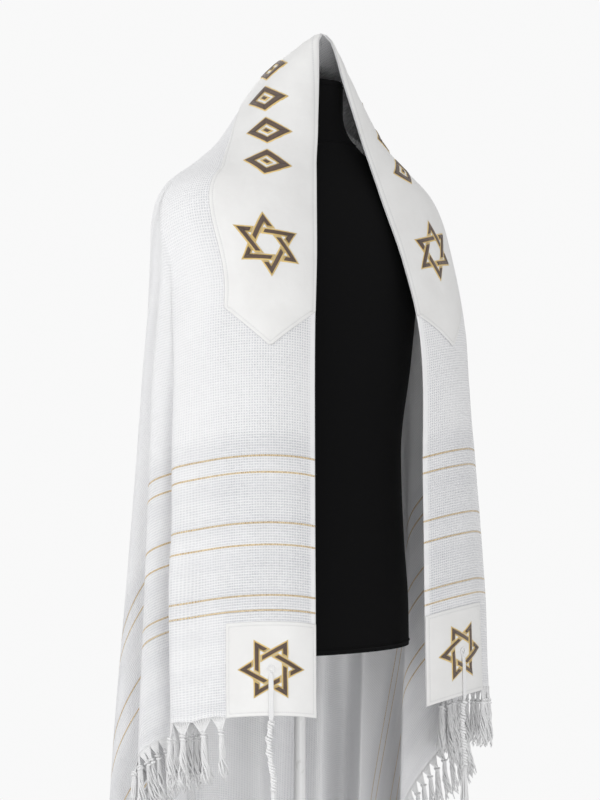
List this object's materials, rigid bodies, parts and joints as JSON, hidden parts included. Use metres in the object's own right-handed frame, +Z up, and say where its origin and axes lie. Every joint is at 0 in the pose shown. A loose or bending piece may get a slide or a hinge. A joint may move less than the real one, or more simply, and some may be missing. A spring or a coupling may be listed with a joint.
{
  "type": "tallit prayer shawl on a dress form",
  "caption": "Woven fringed prayer shawl with satin neckband, corner squares and knotted corner strings, worn open over a black limbless dress form on a round stand.",
  "frame": {"origin": "middle of the stand base's underside, on the floor, on the axis of the pole and the form's neck", "axes": "+Z up, the wearer faces -Y, the wearer's left is +X"},
  "size_m": [0.5935, 0.4442, 1.7937],
  "materials": {
    "wool": "matt waffle weave with gold stripes",
    "satin": "soft satin sheen, embroidered",
    "yarn": "twisted wool yarn",
    "black_jersey": "matt stretch cover",
    "white_steel": "satin paint"
  },
  "bodies": {
    "root": {"shawl": "wool", "neckband": "satin", "corner_front_right": "satin", "corner_front_left": "satin", "corner_rear_right": "satin", "corner_rear_left": "satin", "fringe_right": "yarn", "fringe_left": "yarn", "string_front_right": "yarn", "string_front_left": "yarn", "string_rear_right": "yarn", "string_rear_left": "yarn", "dress_form": "black_jersey", "stand_pole": "white_steel", "stand_base": "white_steel"}
  },
  "joints": []
}
